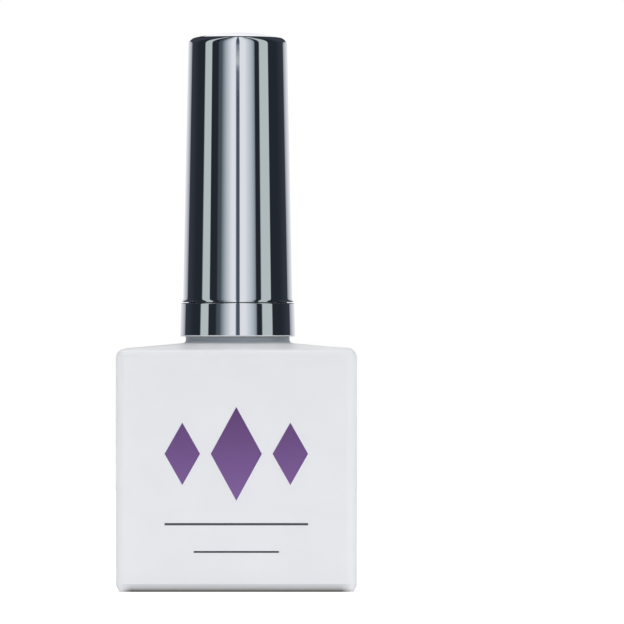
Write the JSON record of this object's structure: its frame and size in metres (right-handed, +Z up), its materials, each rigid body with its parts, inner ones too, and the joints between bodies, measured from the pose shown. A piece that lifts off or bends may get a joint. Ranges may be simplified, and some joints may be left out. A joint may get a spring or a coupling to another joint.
{
  "type": "nail polish bottle",
  "caption": "Square lacquered glass bottle with a tall mirror-bright screw cap, which unscrews and lifts out with its brush.",
  "frame": {"origin": "centre of the base, on the surface that the bottle stands on", "axes": "+Z up along the neck, the cap and the brush; -Y out of the front face; +X to the right of the front face"},
  "size_m": [0.034, 0.034, 0.0795],
  "materials": {
    "lacquered_glass": "gloss",
    "polish": "gloss",
    "label": "matte",
    "liner_film": "satin",
    "liner_foam": "matte",
    "inner_plastic": "satin",
    "mirror_shell": "polished",
    "mirror_collar": "polished",
    "stem_plastic": "satin",
    "bristles": "satin",
    "anchor_metal": "satin"
  },
  "bodies": {
    "bottle": {"glass_bottle": "lacquered_glass", "polish_fill": "polish", "base_label": "label"},
    "seal_film": {"liner_film": "liner_film"},
    "seal_foam": {"liner_foam": "liner_foam"},
    "cap": {"inner_cap": "inner_plastic", "cap_shell": "mirror_shell", "cap_collar": "mirror_collar", "brush_stem": "stem_plastic", "bristle_tuft": "bristles", "brush_anchor": "anchor_metal"}
  },
  "joints": [
    {"name": "cap_lift", "type": "slide", "parent": "bottle", "child": "seal_film", "axis": [0, 0, 1], "range_m": [0, 0.06]},
    {"name": "cap_rise", "type": "slide", "parent": "seal_film", "child": "seal_foam", "axis": [0, 0, 1], "range_m": [0, 0.0032]},
    {"name": "cap_unscrew", "type": "hinge", "parent": "seal_foam", "child": "cap", "pos_m": [0, 0, 0.04635], "axis": [0, 0, 1], "range_deg": [0, 540]}
  ],
  "couplings": [
    {"joint": "cap_rise", "follows": "cap_unscrew", "m_per_rad": 0.00033688}
  ]
}
